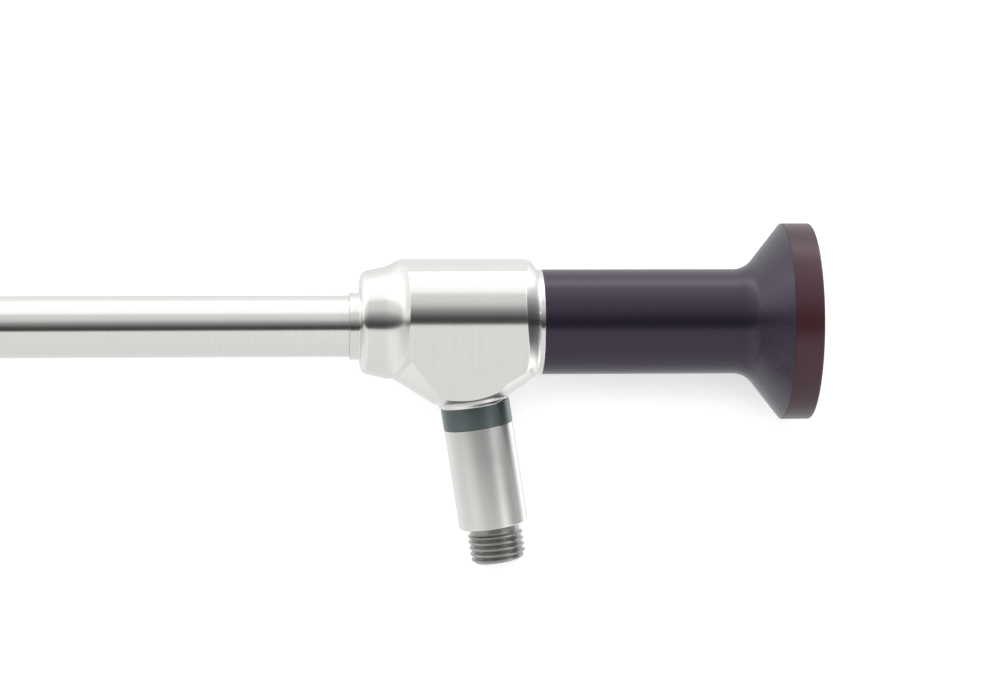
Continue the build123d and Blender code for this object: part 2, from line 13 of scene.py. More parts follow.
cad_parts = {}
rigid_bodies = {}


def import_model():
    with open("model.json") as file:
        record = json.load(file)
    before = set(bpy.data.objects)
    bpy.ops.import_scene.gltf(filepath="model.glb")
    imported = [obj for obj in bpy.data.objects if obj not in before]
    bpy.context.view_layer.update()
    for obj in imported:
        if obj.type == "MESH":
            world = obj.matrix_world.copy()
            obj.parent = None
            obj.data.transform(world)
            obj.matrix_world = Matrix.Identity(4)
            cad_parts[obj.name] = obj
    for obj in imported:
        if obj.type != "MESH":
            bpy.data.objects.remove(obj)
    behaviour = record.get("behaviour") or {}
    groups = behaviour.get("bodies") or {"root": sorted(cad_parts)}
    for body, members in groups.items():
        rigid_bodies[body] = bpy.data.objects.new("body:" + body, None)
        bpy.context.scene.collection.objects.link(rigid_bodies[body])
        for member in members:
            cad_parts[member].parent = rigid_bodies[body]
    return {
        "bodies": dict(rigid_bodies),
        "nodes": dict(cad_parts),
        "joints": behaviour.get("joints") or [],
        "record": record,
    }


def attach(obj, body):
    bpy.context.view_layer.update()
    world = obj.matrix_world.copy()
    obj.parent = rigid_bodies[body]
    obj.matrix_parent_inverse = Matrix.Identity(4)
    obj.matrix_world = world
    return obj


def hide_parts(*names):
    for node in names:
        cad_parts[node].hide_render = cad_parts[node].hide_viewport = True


bl_info = {
    "name": "Rigid Endoscope",
    "version": (1, 0, 0),
    "blender": (4, 5, 0),
    "location": "View3D > Sidebar > Endoscope",
    "description": "Builds the pieces, materials and stage of a rigid endoscope around its CAD frame",
    "category": "Object",
}

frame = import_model()

MARGIN = 0.001
CLEARANCE = 0.00002


# Settings


def property_kind(maker, **settings):
    """A function that makes properties of one kind from a label, a description and a value."""
    def make(label, about, value):
        return maker(name=label, description=about, default=value, **settings)
    return make


metres = property_kind(bpy.props.FloatProperty, min=0.0, unit="LENGTH", subtype="DISTANCE", precision=5)
radians = property_kind(bpy.props.FloatProperty, unit="ROTATION", subtype="ANGLE")
share = property_kind(bpy.props.FloatProperty, min=0.0, max=1.0, subtype="FACTOR")
amount = property_kind(bpy.props.FloatProperty)
lens = property_kind(bpy.props.FloatProperty, unit="CAMERA", subtype="DISTANCE_CAMERA")
count = property_kind(bpy.props.IntProperty, min=1)
colour = property_kind(bpy.props.FloatVectorProperty, size=3, min=0.0, max=1.0, subtype="COLOR")
direction = property_kind(bpy.props.FloatVectorProperty, size=3, subtype="DIRECTION")
position = property_kind(bpy.props.FloatVectorProperty, size=3, unit="LENGTH", precision=6)


def mm(label, about, value):
    """A length property, given in millimetres and kept in metres."""
    return metres(label, about, value / 1000)


def angle(label, about, degrees):
    """An angle property, given in degrees and kept in radians."""
    return radians(label, about, math.radians(degrees))


class ENDO_PG_shaft(bpy.types.PropertyGroup):
    """Sizes of the shaft and its collar."""
    radius: mm("Radius", "Radius of the outer tube", 5.0)
    bore: mm("Bore", "Radius of the tube's bore", 4.6)
    offset: mm("Offset", "Drop of the tube's axis below the optical axis", 0.62)
    length: mm("Length", "Working length to the far edge of the tip", 330.0)
    seat: mm("Seat", "Length of the tube inside the body", 6.0)
    seat_radius: mm("Seat radius", "Radius to which the tube is turned down where it is held", 4.8)
    view: angle("View", "Angle of the tip's face to the axis", 45.0)
    collar_radius: mm("Collar radius", "Radius of the collar", 5.45)
    collar_show: mm("Collar length", "Length of the collar in front of the body", 1.7)
    collar_fillet: mm("Collar fillet", "Fillet between collar and body", 0.6)
    collar_seat: mm("Collar seat", "How deep the collar reaches into the body", 3.0)
    edge: mm("Edge", "Rounding of the turned edges", 0.08)


class ENDO_PG_body(bpy.types.PropertyGroup):
    """Sizes of the steel body."""
    length: mm("Length", "Length of the body from its face to the eyepiece", 29.5)
    nose_radius: mm("Nose radius", "Radius of the nose behind its rounded face", 8.5)
    nose_round: mm("Nose round", "Rounding of the nose's face", 1.5)
    nose_slope: angle("Nose slope", "Slope of the slim cone of the nose", 12.0)
    nose_length: mm("Nose length", "Length of the slim cone", 2.4)
    flare_radius: mm("Flare radius", "Radius of the hollow of the flare", 6.0)
    flare_slope: angle("Flare slope", "Slope at which the flare meets the middle", 60.0)
    top_height: mm("Top height", "Height of the top flat over the axis", 9.85)
    top_half: mm("Top half width", "Half the width of the top flat", 5.5)
    side_radius: mm("Side radius", "Radius of the round sides", 9.3)
    side_offset: mm("Side offset", "Distance of their centre from the middle plane", 2.7)
    side_height: mm("Side height", "Height of their centre over the axis", 1.1)
    bevel: angle("Bevel", "Slope where the bevel meets the round side", 33.0)
    keel: angle("Keel", "Slope of the side flats", 21.5)
    keel_depth: mm("Keel depth", "How far down the side flats could run", 15.0)
    belly_start: mm("Belly start", "Depth at which the belly leaves the flats", 4.0)
    belly_depth: mm("Belly depth", "Depth of the belly in the middle plane", 9.1)
    front_place: mm("Front cone place", "Distance of the front cone's start from the eyepiece", 23.8)
    front_radius: mm("Front cone radius", "Radius of the front cone at its start", 9.4)
    front_slope: angle("Front cone slope", "Slope of the front cone", 32.0)
    rear_radius: mm("Rear cone radius", "Radius of the rear cone at the tail", 8.75)
    rear_slope: angle("Rear cone slope", "Slope of the rear cone", 35.4)
    cheek_place: mm("Cheek place", "Start of the front cut of the flats", 22.5)
    cheek_slope: angle("Cheek slope", "Slope of the front cut", 53.0)
    cheek_tail: mm("Cheek tail depth", "Depth of the rear cut at the tail", 5.6)
    cheek_tail_slope: angle("Cheek tail slope", "Slope of the rear cut", 33.0)
    cheek_depth: mm("Cheek depth", "Depth at which both cuts end", 10.2)
    lip: mm("Lip", "Length of the round lip at the eyepiece", 0.75)
    lip_radius: mm("Lip radius", "Radius of the lip", 8.53)
    overlap: mm("Overlap", "How far the lip runs inside the cone of the tail", 0.3)
    tail: angle("Tail", "Slope of the cone of the tail", 55.0)
    bore: mm("Bore", "Radius of the bore of body and neck", 5.9)
    neck_radius: mm("Neck radius", "Radius of the neck inside the eyepiece", 6.95)
    neck_length: mm("Neck length", "Length of the neck", 8.0)
    boss_radius: mm("Boss radius", "Radius of the boss at the light post", 5.9)
    boss_seat: mm("Boss seat", "Length of the round seat of the boss", 0.6)
    boss_slope: angle("Boss slope", "Opening of the boss from the post's axis", 62.5)
    edge: mm("Edge", "Rounding of the milled edges", 0.22)


class ENDO_PG_post(bpy.types.PropertyGroup):
    """Sizes of the light post."""
    place: mm("Place", "Where the post's axis meets the optical axis", 12.84)
    tilt: angle("Tilt", "Angle of the post to the optical axis", 81.0)
    reach: mm("Reach", "Distance of the boss's end from the optical axis", 13.4)
    ring: mm("Ring", "Length of the dark ring", 3.7)
    sleeve: mm("Sleeve", "Length of the sleeve", 16.5)
    radius: mm("Radius", "Radius of ring and sleeve", 5.65)
    stub: mm("Stub", "Length of the threaded end", 5.9)
    thread_radius: mm("Thread radius", "Radius of the thread over its crests", 4.5)
    thread_depth: mm("Thread depth", "Depth of the thread", 0.55)
    pitch: mm("Pitch", "Pitch of the thread", 1.0)
    relief: mm("Relief", "Length of the groove above the thread", 0.9)
    bore: mm("Bore", "Radius of the bore for the ferrule", 2.64)
    depth: mm("Depth", "How deep the bore is modelled", 16.0)
    shank: mm("Shank", "Radius of the core inside the body", 3.3)
    engagement: mm("Engagement", "Length of the core inside the body", 4.3)
    edge: mm("Edge", "Rounding of the edges", 0.2)
    gap: mm("Gap", "Gap between ring and sleeve", 0.05)


class ENDO_PG_eyepiece(bpy.types.PropertyGroup):
    """Sizes of the eyepiece."""
    radius: mm("Radius", "Radius of the barrel", 8.53)
    length: mm("Length", "Length of the barrel", 39.3)
    fillet: mm("Fillet", "Fillet between barrel and cone", 4.2)
    flare: angle("Flare", "Slope of the cone", 51.5)
    cup_radius: mm("Eyecup radius", "Radius of the eyecup", 16.0)
    cup_length: mm("Rim length", "Length of the rim", 4.6)
    mouth: mm("Mouth", "Radius of the funnel at its mouth", 13.2)
    throat: mm("Throat", "Radius of the funnel at its bottom", 6.4)
    funnel: mm("Funnel", "Depth of the funnel", 8.9)
    spigot: mm("Spigot", "Radius of the rim's spigot", 12.4)
    spigot_length: mm("Spigot length", "Length of the spigot", 2.0)
    recess: mm("Recess", "Radius of the recess of the window and its ring", 6.22)
    recess_depth: mm("Recess depth", "Depth of the recess under the funnel", 2.7)
    sight: mm("Sight", "Radius of the hole under the window", 4.9)
    shelf: mm("Shelf", "Thickness of the shelf under the window", 0.4)
    foot: mm("Foot", "Rounding of the barrel's edge at the body", 0.08)
    edge: mm("Edge", "Rounding of the outer edges", 0.35)
    seam: mm("Seam", "Rounding at the seam of barrel and rim", 0.04)


class ENDO_PG_detail(bpy.types.PropertyGroup):
    """How finely the pieces are made."""
    segments: count("Segments", "Segments round a turned piece", 192)
    corner: count("Corner steps", "Steps of a rounded corner", 5)
    collar: count("Collar steps", "Steps of a rounded corner of the collar", 8)
    fillet: count("Fillet steps", "Steps of a large fillet", 14)
    thread: count("Thread steps", "Rings of points to a turn of the thread", 14)
    thread_sharp: angle("Thread sharp", "Edges of the thread sharper than this are shaded sharp", 50.0)
    sharp: angle("Sharp", "Edges sharper than this are shaded sharp", 30.0)


class ENDO_PG_finish(bpy.types.PropertyGroup):
    """Colours and finishes."""
    steel: colour("Steel", "Reflectivity of the brushed steel", (0.765, 0.755, 0.735))
    steel_roughness: share("Steel roughness", "Roughness of the brushed steel", 0.2)
    brushing: share("Brushing", "Depth of the brushed streaks", 0.35)
    streak: amount("Streaks", "Brushed streaks per metre", 5200.0)
    sleeve: colour("Sleeve", "Reflectivity of the satin sleeve", (0.74, 0.73, 0.71))
    sleeve_roughness: share("Sleeve roughness", "Roughness of the satin sleeve", 0.28)
    thread: colour("Thread", "Reflectivity of the thread", (0.35, 0.35, 0.335))
    thread_roughness: share("Thread roughness", "Roughness of the thread", 0.27)
    ring: colour("Ring", "Reflectivity of the dark ring", (0.130, 0.160, 0.159))
    ring_roughness: share("Ring roughness", "Roughness of the dark ring", 0.33)
    barrel: colour("Barrel", "Colour of the anodised barrel", (0.006, 0.0045, 0.012))
    barrel_roughness: share("Barrel roughness", "Roughness of the barrel", 0.27)
    rim: colour("Rim", "Colour of the rim", (0.036, 0.0075, 0.0095))
    rim_roughness: share("Rim roughness", "Roughness of the rim", 0.31)
    glass: colour("Glass", "Colour of the lenses and windows", (0.95, 0.98, 0.97))


class ENDO_PG_stage(bpy.types.PropertyGroup):
    """Camera, light and floor."""
    focal: lens("Focal length", "Focal length of the camera", 116.3)
    axis_seen: direction("Axis seen", "The optical axis in the camera's frame",
                         (0.9969, 0.0035, -0.0785))
    post_seen: direction("Post seen", "The light post in the camera's frame", (0.151, -0.980, -0.125))
    post_place_seen: position("Post place seen", "The foot of the post in the camera's frame",
                              (-0.006118, 0.004544, -0.5243))
    floor: colour("Floor", "Colour of the floor", (0.95, 0.95, 0.95))
    glow: amount("Floor glow", "Brightness added for the camera, which pales the shadows", 0.46)
    floor_size: metres("Floor size", "Width of the floor", 6.0)
    floor_drop: metres("Floor drop", "Gap between floor and instrument", 0.00005)
    key: amount("Key light", "Power of the soft light overhead", 9.0)
    key_size: metres("Key size", "Width of the soft light", 1.1)
    key_place: position("Key place", "Place of the soft light from the light post", (-0.25, 0.35, 1.1))
    room: amount("Room light", "Strength of the even light of the room", 0.75)
    backdrop: amount("Backdrop", "Strength of the white that the camera sees", 1.0)


GROUPS = {
    "endo_shaft": ENDO_PG_shaft,
    "endo_body": ENDO_PG_body,
    "endo_post": ENDO_PG_post,
    "endo_eyepiece": ENDO_PG_eyepiece,
    "endo_detail": ENDO_PG_detail,
    "endo_finish": ENDO_PG_finish,
    "endo_stage": ENDO_PG_stage,
}


# Frames


def mount(name):
    """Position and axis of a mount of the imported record."""
    for stated in frame["record"]["mounts"]:
        if stated["name"] == name:
            return Vector(stated["pos_m"]), Vector(stated["axis"]).normalized()
    raise RuntimeError(f"the record has no mount named {name}")


def upright(along, post):
    """The turn whose X runs along the scope and whose Z points away from the post."""
    up = (along * along.dot(post) - post).normalized()
    return Matrix((along, up.cross(along), up)).transposed().to_4x4()


def scope_matrix(scene):
    """The scope's own frame, as it lies in the row."""
    eyepiece = scene.endo_eyepiece
    along = mount("eyecup_face")[1]
    rim_middle = eyepiece.length + (eyepiece.cup_length - eyepiece.edge) / 2
    origin = mount("eyecup_rim")[0] - along * rim_middle
    return Matrix.Translation(origin) @ upright(along, mount("light_thread")[1])


def post_matrix(scene):
    """The post's frame: X runs down the post from the optical axis, Z toward the eyepiece."""
    post = scene.endo_post
    down = Vector((math.cos(post.tilt), 0, -math.sin(post.tilt)))
    ahead = Vector((math.sin(post.tilt), 0, math.cos(post.tilt)))
    turn = Matrix((down, ahead.cross(down), ahead)).transposed().to_4x4()
    return scope_matrix(scene) @ Matrix.Translation((-post.place, 0, 0)) @ turn


# Meshes


def rounded(outline, radii, steps):
    """The closed outline with its corners rounded by the given radii, as a list of points."""
    most = 0.45
    points = []
    size = len(outline)
    for i, (corner, radius) in enumerate(zip(outline, radii)):
        here = Vector(corner)
        before = Vector(outline[i - 1]) - here
        after = Vector(outline[(i + 1) % size]) - here
        if not radius:
            points.append(tuple(here))
            continue
        half = before.angle(after) / 2
        run = min(radius / math.tan(half), most * before.length, most * after.length)
        radius = run * math.tan(half)
        middle = (before.normalized() + after.normalized()).normalized()
        centre = here + middle * (radius / math.sin(half))
        first = here + before.normalized() * run - centre
        last = here + after.normalized() * run - centre
        for step in range(steps + 1):
            arm = first.slerp(last, step / steps).normalized() * radius
            points.append(tuple(centre + arm))
    return points


def lathe(name, outline, segments):
    """A mesh turned about X from a closed outline of (along, radius) points."""
    on_axis = 1e-7
    verts, faces, rings = [], [], []
    for along, radius in outline:
        if radius < on_axis:
            rings.append([len(verts)] * segments)
            verts.append((along, 0, 0))
            continue
        rings.append(list(range(len(verts), len(verts) + segments)))
        for i in range(segments):
            turn = 2 * math.pi * i / segments
            verts.append((along, radius * math.sin(turn), radius * math.cos(turn)))
    for k, one in enumerate(rings):
        two = rings[(k + 1) % len(rings)]
        for i in range(segments):
            j = (i + 1) % segments
            face = list(dict.fromkeys((one[i], one[j], two[j], two[i])))
            if len(face) > 2:
                faces.append(face)
    return closed_mesh(name, verts, faces)


def shade(mesh, sharp):
    """Smooth shading that keeps the sharp edges."""
    mesh.shade_smooth()
    mesh.set_sharp_from_angle(angle=sharp)


def add_piece(scene, mesh, matrix, node, material):
    """Puts a mesh in the scene, laid in the row's frame, as the piece that stands for a CAD node."""
    mesh.transform(matrix)
    piece = bpy.data.objects.new(mesh.name, mesh)
    scene.collection.objects.link(piece)
    mesh.materials.append(material)
    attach(piece, "root")
    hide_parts(node)
    return piece


def turned(scene, name, outline, radii, steps=0):
    """A turned mesh with rounded corners, shaded smooth between its sharp edges."""
    detail = scene.endo_detail
    mesh = lathe(name, rounded(outline, radii, steps or detail.corner), detail.segments)
    shade(mesh, detail.sharp)
    return mesh


# Materials


BRUSHED_RELIEF = 0.00001
GRAIN_RELIEF = 0.00002
# Name, colour, metallic, roughness, grains per metre and depth of the grain
INNER_FINISHES = (
    ("InnerSteel", (0.60, 0.60, 0.60), 1.0, 0.3, 1500.0, 0.1),
    ("BlackMetal", (0.03, 0.03, 0.032), 0.2, 0.5, 1800.0, 0.15),
    ("SealRubber", (0.02, 0.02, 0.02), 0.0, 0.6, 1500.0, 0.2),
    ("Solder", (0.72, 0.58, 0.30), 1.0, 0.3, 1500.0, 0.1),
    ("Fibres", (0.80, 0.80, 0.72), 0.0, 0.25, 9000.0, 0.3),
)


def new_node(tree, kind, inputs=None, **settings):
    """A node with its settings, and a value or another node's output at each named input."""
    node = tree.nodes.new(kind)
    for name, value in settings.items():
        setattr(node, name, value)
    for name, value in (inputs or {}).items():
        if isinstance(value, bpy.types.NodeSocket):
            tree.links.new(value, node.inputs[name])
        else:
            node.inputs[name].default_value = value
    return node


def computed(tree, operation, *values):
    """What a math node makes of numbers or outputs."""
    node = new_node(tree, "ShaderNodeMath", dict(enumerate(values)), operation=operation)
    return node.outputs["Value"]


def vector_computed(tree, operation, inputs, output="Vector"):
    """What a vector math node makes of its named inputs."""
    return new_node(tree, "ShaderNodeVectorMath", inputs, operation=operation).outputs[output]


def either(tree, share_of_second, one, two):
    """A mix of two shaders."""
    node = new_node(tree, "ShaderNodeMixShader", {"Fac": share_of_second, 1: one, 2: two})
    return node.outputs["Shader"]


def shader_group(name, numbers, outputs, vectors=()):
    """An empty node group with its named sockets. Returns it and what its input node puts out."""
    group = bpy.data.node_groups.new(name, "ShaderNodeTree")
    sockets = group.interface
    for label, default in numbers.items():
        socket = sockets.new_socket(name=label, in_out="INPUT", socket_type="NodeSocketFloat")
        socket.default_value = default
    for label in vectors:
        sockets.new_socket(name=label, in_out="INPUT", socket_type="NodeSocketVector")
    for label in outputs:
        sockets.new_socket(name=label, in_out="OUTPUT", socket_type="NodeSocketFloat")
    return group, new_node(group, "NodeGroupInput").outputs


def brushing_group():
    """A group that puts out fine brushed streaks running round an axis, from 0 to 1."""
    group, given = shader_group("BrushedStreaks", {"Streaks": 5000.0, "Round": 90.0, "Wear": 220.0},
                                ("Height", "Tone"), ("Axis",))
    place = new_node(group, "ShaderNodeTexCoord").outputs["Object"]
    along = vector_computed(group, "DOT_PRODUCT", {0: place, 1: given["Axis"]}, "Value")
    often = computed(group, "MULTIPLY", along, given["Streaks"])
    lengthwise = vector_computed(group, "SCALE", {0: given["Axis"], "Scale": often})
    across = vector_computed(group, "SCALE", {0: place, "Scale": given["Round"]})
    stretched = vector_computed(group, "ADD", {0: lengthwise, 1: across})
    fine = new_node(group, "ShaderNodeTexNoise", {
        "Vector": stretched, "Scale": 1.0, "Detail": 3.0, "Roughness": 0.65,
    }).outputs["Fac"]
    broad = new_node(group, "ShaderNodeTexNoise", {
        "Vector": place, "Scale": given["Wear"], "Detail": 2.0,
    }).outputs["Fac"]
    tone = computed(group, "MULTIPLY_ADD", broad, 0.3, fine)
    new_node(group, "NodeGroupOutput", {"Height": fine, "Tone": tone})
    return group


def grain_group():
    """A group that puts out a fine even grain, from 0 to 1."""
    group, given = shader_group("FineGrain", {"Grains": 1500.0}, ("Height",))
    noise = new_node(group, "ShaderNodeTexNoise", {
        "Vector": new_node(group, "ShaderNodeTexCoord").outputs["Object"],
        "Scale": given["Grains"], "Detail": 4.0,
    })
    new_node(group, "NodeGroupOutput", {"Height": noise.outputs["Fac"]})
    return group


def surface(name, base, metallic, roughness, **sockets):
    """A material with one plain surface shader. Returns it, its tree and the shader."""
    made = bpy.data.materials.new(name)
    made.use_nodes = True
    shader = made.node_tree.nodes["Principled BSDF"]
    shader.inputs["Base Color"].default_value = (*base, 1.0)
    shader.inputs["Metallic"].default_value = metallic
    shader.inputs["Roughness"].default_value = roughness
    for socket, value in sockets.items():
        shader.inputs[socket.replace("_", " ")].default_value = value
    return made, made.node_tree, shader


def vary(tree, shader, source, base, change, roughness, low, high):
    """Lets a value from 0 to 1 change the shader's colour by a share and its roughness by factors."""
    darker = (*[c * (1 - change) for c in base], 1.0)
    lighter = (*[min(1.0, c * (1 + change)) for c in base], 1.0)
    tint = new_node(tree, "ShaderNodeMix", {"Factor": source, "A": darker, "B": lighter},
                    data_type="RGBA")
    rough = new_node(tree, "ShaderNodeMapRange", {
        "Value": source, "To Min": roughness * low, "To Max": roughness * high,
    })
    tree.links.new(tint.outputs["Result"], shader.inputs["Base Color"])
    tree.links.new(rough.outputs["Result"], shader.inputs["Roughness"])


def brushed(name, base, roughness, streaks, depth, group, axis, edge=0.0, change=0.05):
    """Metal brushed round an axis, which blurs what it mirrors along it, with edges that look round."""
    tree, shader = surface(name, base, 1.0, roughness, Anisotropic=0.8)[1:]
    lines = new_node(tree, "ShaderNodeGroup", {"Streaks": streaks, "Axis": axis}, node_tree=group)
    grain = new_node(tree, "ShaderNodeCombineXYZ", dict(enumerate(axis)))
    tree.links.new(grain.outputs["Vector"], shader.inputs["Tangent"])
    vary(tree, shader, lines.outputs["Tone"], base, change, roughness, 0.85, 1.2)
    relief = new_node(tree, "ShaderNodeBump", {
        "Height": lines.outputs["Height"], "Strength": depth, "Distance": BRUSHED_RELIEF,
    })
    if edge:
        soft = new_node(tree, "ShaderNodeBevel", {"Radius": edge}, samples=6)
        tree.links.new(soft.outputs["Normal"], relief.inputs["Normal"])
    tree.links.new(relief.outputs["Normal"], shader.inputs["Normal"])


def grained(name, base, metallic, roughness, grains, depth, group, **sockets):
    """A plain surface with a fine even grain."""
    tree, shader = surface(name, base, metallic, roughness, **sockets)[1:]
    height = new_node(tree, "ShaderNodeGroup", {"Grains": grains}, node_tree=group).outputs["Height"]
    vary(tree, shader, height, base, 0.12, roughness, 0.85, 1.15)
    relief = new_node(tree, "ShaderNodeBump", {
        "Height": height, "Strength": depth, "Distance": GRAIN_RELIEF,
    })
    tree.links.new(relief.outputs["Normal"], shader.inputs["Normal"])


def materials(scene):
    """All materials, by name, made once."""
    if "BodySteel" in bpy.data.materials:
        return bpy.data.materials
    finish = scene.endo_finish
    steel, rough = finish.steel, finish.steel_roughness
    streak, depth = finish.streak, finish.brushing
    group, grain = brushing_group(), grain_group()
    scope = mount("eyecup_face")[1]
    post = mount("light_thread")[1]
    brushed("ShaftSteel", steel, rough * 0.95, streak, depth * 0.5, group, scope)
    brushed("BodySteel", steel, rough, streak, depth, group, scope, edge=scene.endo_body.edge)
    brushed("SleeveSteel", finish.sleeve, finish.sleeve_roughness, streak * 1.4, depth * 1.4, group,
            post)
    brushed("ThreadSteel", finish.thread, finish.thread_roughness, streak, depth, group, post)
    brushed("RingMetal", finish.ring, finish.ring_roughness, streak, depth, group, post, change=0.1)
    grained("BarrelBlack", finish.barrel, 0.0, finish.barrel_roughness, 2600.0, 0.03, grain,
            Specular_IOR_Level=0.72, Specular_Tint=(0.90, 0.77, 1.0, 1.0))
    grained("RimBrown", finish.rim, 0.0, finish.rim_roughness, 2200.0, 0.04, grain,
            Specular_IOR_Level=0.6, Specular_Tint=(0.95, 0.86, 1.0, 1.0))
    grained("LensGlass", finish.glass, 0.0, 0.02, 900.0, 0.0, grain, Transmission_Weight=1.0,
            IOR=1.52)
    for inner in INNER_FINISHES:
        grained(*inner, grain)
    return bpy.data.materials


SLOT_MATERIALS = {
    "steel": "BodySteel",
    "inner_steel": "InnerSteel",
    "black_barrel": "BarrelBlack",
    "dark_rim": "RimBrown",
    "grey_ring": "RingMetal",
    "black_metal": "BlackMetal",
    "seal": "SealRubber",
    "solder": "Solder",
    "fibres": "Fibres",
    "glass": "LensGlass",
}


# Shaft, post and eyepiece


def make_shaft(scene):
    """The outer tube with its slanted tip."""
    shaft = scene.endo_shaft
    face = -scene.endo_body.length
    shoulder = face - shaft.collar_show - scene.endo_post.gap
    inner = face + shaft.seat
    slope = 1 / math.tan(shaft.view)
    tip = face - shaft.collar_show - shaft.length + shaft.radius * slope
    outline = [(tip, shaft.bore), (tip, shaft.radius), (shoulder, shaft.radius),
               (shoulder, shaft.seat_radius), (inner, shaft.seat_radius), (inner, shaft.bore)]
    radii = [shaft.edge, shaft.edge, shaft.edge, 0, 0, 0]
    mesh = turned(scene, "outer_tube_skin", outline, radii)
    for vert in mesh.vertices:
        if vert.co.x < tip + shaft.radius:
            vert.co.x += vert.co.z * slope
    shade(mesh, scene.endo_detail.sharp)
    return mesh


def make_collar(scene):
    """The collar with its fillet against the body."""
    shaft = scene.endo_shaft
    end = -scene.endo_body.length
    start, inner = end - shaft.collar_show, end + shaft.collar_seat
    bore, radius = shaft.seat_radius + CLEARANCE, shaft.collar_radius
    outline = [(start, bore), (start, radius), (end, radius), (end, radius + shaft.collar_fillet),
               (end + CLEARANCE, radius), (inner, radius), (inner, bore)]
    radii = [0, shaft.edge, shaft.collar_fillet, 0, 0, 0, 0]
    return turned(scene, "shaft_collar_skin", outline, radii, scene.endo_detail.collar)


def make_band(scene, name, start, length, first_edge, last_edge):
    """A plain ring round the post, with its two outer edges rounded."""
    radius = scene.endo_post.radius
    bore = scene.endo_post.thread_radius + CLEARANCE
    end = start + length
    outline = [(start, bore), (start, radius), (end, radius), (end, bore)]
    return turned(scene, name, outline, [0, first_edge, last_edge, 0])


def make_post(scene):
    """The core of the post, with the cut thread of its free end."""
    post = scene.endo_post
    detail = scene.endo_detail
    top = post.reach - post.engagement
    stub = post.reach + post.ring + post.sleeve
    end = stub + post.stub
    root = post.thread_radius - post.thread_depth
    first = stub + post.relief
    core = 0.8 * post.bore
    run_in, run_out, fullness = 0.6 * post.pitch, 0.5 * post.pitch, 0.8
    turns = int((end - first) / post.pitch * detail.thread)
    outline = [(top, core), (top, post.shank), (post.reach, post.shank),
               (post.reach, post.thread_radius), (stub, post.thread_radius), (stub, root),
               (first, root)]
    outline += [(first + (end - first) * (k + 1) / (turns + 1), post.thread_radius)
                for k in range(turns)]
    outline += [(end, root), (end, post.bore), (end - post.depth, post.bore), (end - post.depth, core)]
    mesh = lathe("light_post_skin", outline, detail.segments)
    for vert in mesh.vertices:
        along = vert.co.x
        distance = math.hypot(vert.co.y, vert.co.z)
        if not first < along < end or distance < root:
            continue
        turn = math.atan2(vert.co.y, vert.co.z) / (2 * math.pi)
        phase = (along / post.pitch - turn) % 1.0
        height = (0.5 - 0.5 * math.cos(2 * math.pi * phase)) ** fullness
        fade = max(0.0, min(1.0, (along - first) / run_in, (end - along) / run_out))
        radius = root + post.thread_depth * height * fade
        vert.co.y *= radius / distance
        vert.co.z *= radius / distance
    shade(mesh, detail.thread_sharp)
    return mesh


def funnel_points(eyepiece):
    """Throat and mouth of the funnel, as (along, radius)."""
    end = eyepiece.length + eyepiece.cup_length
    return (end - eyepiece.funnel, eyepiece.throat), (end, eyepiece.mouth)


def funnel_radius(eyepiece, along):
    """Radius of the funnel at a place on the axis."""
    (low, small), (high, large) = funnel_points(eyepiece)
    return small + (large - small) * (along - low) / (high - low)


def make_barrel(scene):
    """The black barrel: straight, filleted and flared, with its bores and its part of the funnel."""
    eyepiece = scene.endo_eyepiece
    body = scene.endo_body
    length = eyepiece.length
    foot = length - (eyepiece.cup_radius - eyepiece.radius) / math.tan(eyepiece.flare)
    throat = funnel_points(eyepiece)[0]
    seat = throat[0] - eyepiece.recess_depth
    under = seat - eyepiece.shelf
    joint = length - eyepiece.spigot_length
    outline = [(0, eyepiece.radius), (foot, eyepiece.radius), (length, eyepiece.cup_radius),
               (length, eyepiece.spigot), (joint, eyepiece.spigot),
               (joint, funnel_radius(eyepiece, joint)), throat, (throat[0], eyepiece.recess),
               (seat, eyepiece.recess), (seat, eyepiece.sight), (under, eyepiece.sight),
               (under, body.bore), (body.neck_length, body.bore),
               (body.neck_length, body.neck_radius), (0, body.neck_radius)]
    radii = [eyepiece.foot, eyepiece.fillet, eyepiece.seam] + [0] * 12
    return turned(scene, "eyepiece_barrel_skin", outline, radii, scene.endo_detail.fillet)


def make_rim(scene):
    """The rim of the eyecup."""
    eyepiece = scene.endo_eyepiece
    start = eyepiece.length - eyepiece.spigot_length + scene.endo_post.gap
    end = eyepiece.length + eyepiece.cup_length
    outline = [(start, funnel_radius(eyepiece, start)), (start, eyepiece.spigot),
               (eyepiece.length, eyepiece.spigot), (eyepiece.length, eyepiece.cup_radius),
               (end, eyepiece.cup_radius), (end, eyepiece.mouth)]
    return turned(scene, "eyecup_rim_skin", outline, [0, 0, 0, eyepiece.seam] + [eyepiece.edge] * 2)


# Body


def section(body, steps=24):
    """The closed outline across the body with its flats run far down, as (across, up) points."""
    bevel, keel = body.bevel, body.keel
    half = [(body.top_half, body.top_height)]
    for k in range(steps + 1):
        turn = bevel + (math.pi / 2 + keel - bevel) * k / steps
        half.append((body.side_offset + body.side_radius * math.sin(turn),
                     body.side_height + body.side_radius * math.cos(turn)))
    half.append((flat_place(body, body.keel_depth), -body.keel_depth))
    return half + [(-y, z) for y, z in reversed(half)]


def flat_place(body, depth):
    """How far from the middle plane the side flat is at a depth."""
    across = body.side_offset + body.side_radius * math.cos(body.keel)
    height = body.side_height - body.side_radius * math.sin(body.keel)
    return across - (height + depth) * math.tan(body.keel)


def belly_ball(body):
    """Radius of the round belly."""
    half = flat_place(body, body.belly_start)
    drop = body.belly_depth - body.belly_start
    return (half ** 2 + drop ** 2) / (2 * drop)


